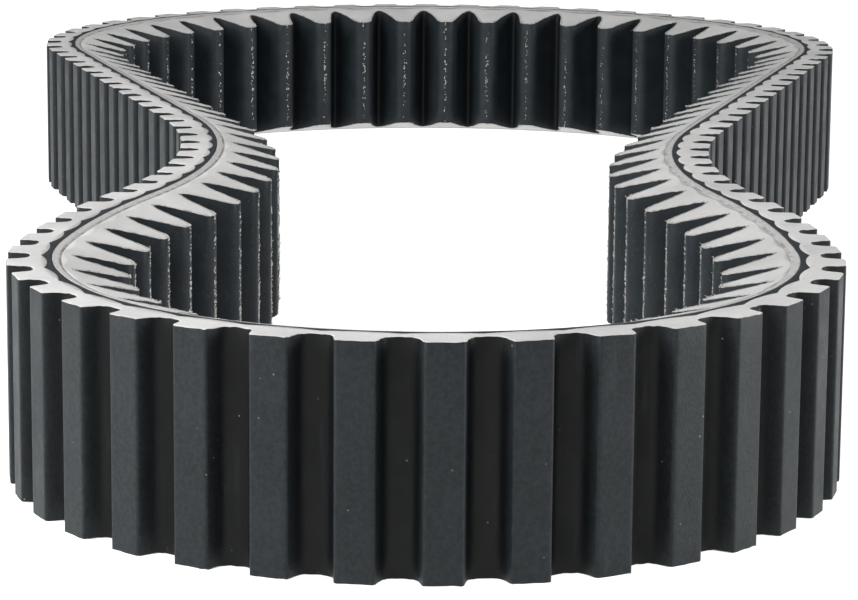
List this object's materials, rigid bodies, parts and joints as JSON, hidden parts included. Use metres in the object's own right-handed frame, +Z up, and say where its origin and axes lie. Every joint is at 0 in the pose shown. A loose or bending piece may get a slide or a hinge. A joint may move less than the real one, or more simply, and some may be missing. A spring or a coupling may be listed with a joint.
{
  "type": "variable speed drive belt",
  "caption": "Endless wide V-belt with moulded cogs inside and out, standing on one cut flank in a pinched loop; carries power between variable-speed sheaves.",
  "frame": {"origin": "centre of the belt's bounding box in plan, at the level of the surface on which its cut flank stands", "axes": "+Z up, across the belt from one cut flank to the other; +Y from the small front loop to the large back loop; +X to the right seen from the front"},
  "size_m": [0.2065, 0.5003, 0.036],
  "materials": {
    "outer_rubber": "moulded matte rubber, cut flanks ground grey",
    "cushion_rubber": "soft black adhesion rubber",
    "aramid_cord": "pale twisted cord, cut at the flanks",
    "inner_rubber": "fibre-filled rubber, cut flanks ground grey",
    "cog_fabric": "rubber-soaked knit over the inner cogs, frayed at the cog tips"
  },
  "bodies": {
    "root": {"outer_cog_rubber": "outer_rubber", "upper_cushion_rubber": "cushion_rubber", "tension_cord": "aramid_cord", "lower_cushion_rubber": "cushion_rubber", "inner_cog_rubber": "inner_rubber", "inner_cog_fabric": "cog_fabric"}
  },
  "joints": []
}
